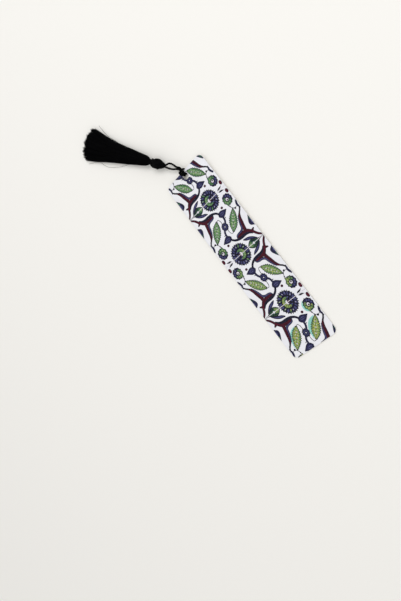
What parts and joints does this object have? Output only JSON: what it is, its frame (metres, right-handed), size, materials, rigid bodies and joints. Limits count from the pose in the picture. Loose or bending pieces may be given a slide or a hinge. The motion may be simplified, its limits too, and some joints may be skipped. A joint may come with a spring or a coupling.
{
  "type": "bookmark",
  "caption": "Slim printed bookmark slip with rounded corners and a punched hole; a black cord hitched through the hole carries a ball knot and a fanned thread tassel.",
  "frame": {"origin": "middle of the slip's back face", "axes": "+Y along the slip to the tasselled end, +Z out of the printed face, +X to the right as the printed face is seen"},
  "size_m": [0.1061, 0.304, 0.0105],
  "materials": {
    "board": "plain cut edge",
    "printed_paper": "satin print of a blue, green and dark red tile ornament on white",
    "back_paper": "plain matte",
    "cord": "black twisted cord, slight sheen",
    "threads": "black silky thread"
  },
  "bodies": {
    "slip": {"core_board": "board", "front_sheet": "printed_paper", "back_sheet": "back_paper", "cord_hitch": "cord"},
    "cord_neck": {"cord_neck": "cord"},
    "loop": {"cord_leg_left": "cord", "cord_leg_right": "cord"},
    "knot": {"button_knot": "cord"},
    "skirt": {"neck_binding": "threads", "thread_skirt": "threads"}
  },
  "joints": [
    {"name": "cord_swing", "type": "hinge", "parent": "slip", "child": "cord_neck", "pos_m": [0, 0.1035, 0.002], "axis": [0, 0, 1], "range_deg": [-97, 19]},
    {"name": "loop_lift", "type": "hinge", "parent": "cord_neck", "child": "loop", "pos_m": [-0.00164, 0.10552, 0.002], "axis": [0.7764, 0.6303, 0], "range_deg": [-75, 100]},
    {"name": "knot_swing", "type": "hinge", "parent": "loop", "child": "knot", "pos_m": [-0.00987, 0.11565, 0.00305], "axis": [0, 0, 1], "range_deg": [-45, 45]},
    {"name": "skirt_lift", "type": "hinge", "parent": "knot", "child": "skirt", "pos_m": [-0.01893, 0.1286, 0.00305], "axis": [0.8192, 0.5736, 0], "range_deg": [-45, 45]}
  ]
}
